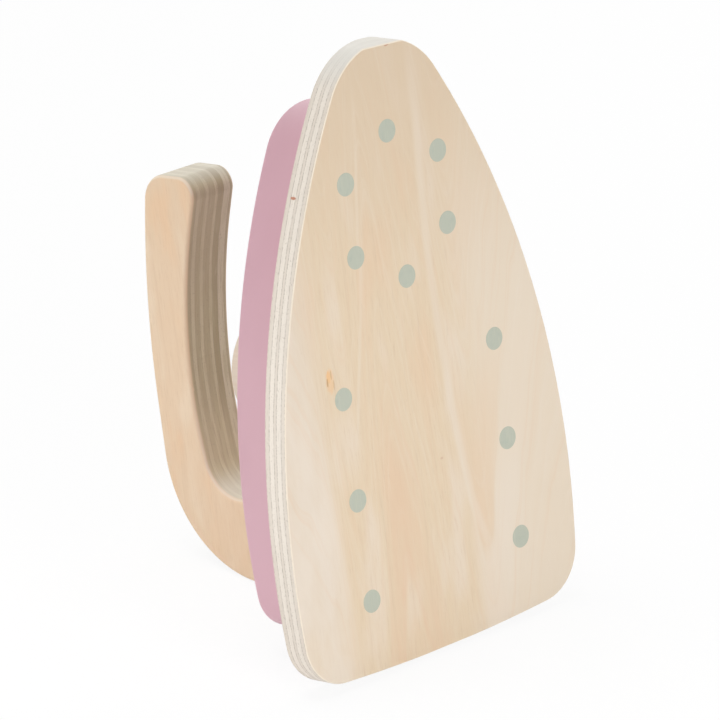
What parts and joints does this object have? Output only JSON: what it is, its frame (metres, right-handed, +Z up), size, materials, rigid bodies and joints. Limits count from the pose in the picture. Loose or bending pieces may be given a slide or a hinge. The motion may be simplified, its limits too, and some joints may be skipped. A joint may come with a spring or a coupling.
{
  "type": "toy iron",
  "caption": "Wooden toy iron standing on its heel: a pointed plywood sole plate with printed dots, a painted body block, an open J-shaped handle and a round dial knob that turns.",
  "frame": {"origin": "on the ground, under the middle of the iron's bounding box, as it stands on its heel", "axes": "+Z up, with the nose at the top; the sole's working face looks to -Y and leans back by 10.6 degrees; X runs across the iron"},
  "size_m": [0.1014, 0.108, 0.159],
  "materials": {
    "sole_plywood": "clear-varnished birch plywood",
    "print": "sage-green printed ink",
    "pink_paint": "solid wood, matt pink paint",
    "handle_plywood": "clear-varnished birch plywood, rounded edges",
    "knob_wood": "clear-varnished beech",
    "zinc": "zinc-plated steel"
  },
  "bodies": {
    "iron": {"sole_plate": "sole_plywood", "sole_dots": "print", "body_block": "pink_paint", "handle": "handle_plywood", "handle_screws": "zinc", "dial_washer": "zinc"},
    "dial": {"dial_knob": "knob_wood", "dial_screw": "zinc"}
  },
  "joints": [
    {"name": "dial_turn", "type": "hinge", "parent": "iron", "child": "dial", "pos_m": [0, -0.01094, 0.06437], "axis": [0, 0.9829, -0.184], "continuous": true}
  ]
}
